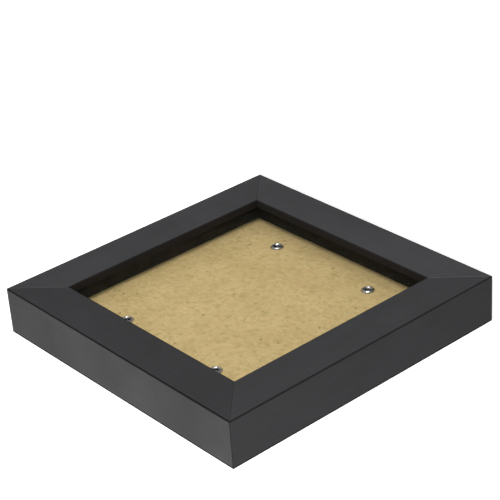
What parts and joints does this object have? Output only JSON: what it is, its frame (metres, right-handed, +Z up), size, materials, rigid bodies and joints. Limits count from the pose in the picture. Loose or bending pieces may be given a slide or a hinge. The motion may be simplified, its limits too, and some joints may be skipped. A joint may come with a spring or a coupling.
{
  "type": "shadow box",
  "caption": "Square shadow box: mitred black wooden frame, glazed front, shallow display space and a hardboard back held by riveted turn buttons.",
  "frame": {"origin": "middle of the base, under the centre of the bottom rail", "axes": "+X to the right as seen from the front, +Y from the glass towards the back, +Z up"},
  "size_m": [0.1906, 0.0284, 0.1905],
  "materials": {
    "painted_wood": "satin black paint",
    "spacer_wood": "matt black paint",
    "hardboard": "raw",
    "glass": "clear",
    "zinc_steel": "zinc plated",
    "rivet_steel": "bright plated",
    "nail_steel": "plain"
  },
  "bodies": {
    "frame": {"top_rail": "painted_wood", "bottom_rail": "painted_wood", "left_rail": "painted_wood", "right_rail": "painted_wood", "corner_v_nails": "nail_steel", "glazing_pane": "glass", "spacer_top": "spacer_wood", "spacer_bottom": "spacer_wood", "spacer_left": "spacer_wood", "spacer_right": "spacer_wood", "sawtooth_hanger": "zinc_steel", "hanger_nails": "nail_steel"},
    "backing": {"backing_panel": "hardboard", "rivet_top_left": "rivet_steel", "rivet_top_right": "rivet_steel", "rivet_bottom_left": "rivet_steel", "rivet_bottom_right": "rivet_steel", "button_washers": "zinc_steel"},
    "button_top_left": {"turn_button_top_left": "zinc_steel"},
    "button_top_right": {"turn_button_top_right": "zinc_steel"},
    "button_bottom_left": {"turn_button_bottom_left": "zinc_steel"},
    "button_bottom_right": {"turn_button_bottom_right": "zinc_steel"}
  },
  "joints": [
    {"name": "backing_lift", "type": "slide", "parent": "frame", "child": "backing", "axis": [0, 1, 0], "range_m": [0, 0.06]},
    {"name": "button_top_left_turn", "type": "hinge", "parent": "backing", "child": "button_top_left", "pos_m": [-0.0377, 0.0045, 0.15145], "axis": [0, 1, 0], "range_deg": [0, 90]},
    {"name": "button_top_right_turn", "type": "hinge", "parent": "backing", "child": "button_top_right", "pos_m": [0.0377, 0.0045, 0.15145], "axis": [0, -1, 0], "range_deg": [0, 90]},
    {"name": "button_bottom_left_turn", "type": "hinge", "parent": "backing", "child": "button_bottom_left", "pos_m": [-0.0377, 0.0045, 0.03905], "axis": [0, -1, 0], "range_deg": [0, 90]},
    {"name": "button_bottom_right_turn", "type": "hinge", "parent": "backing", "child": "button_bottom_right", "pos_m": [0.0377, 0.0045, 0.03905], "axis": [0, 1, 0], "range_deg": [0, 90]}
  ]
}
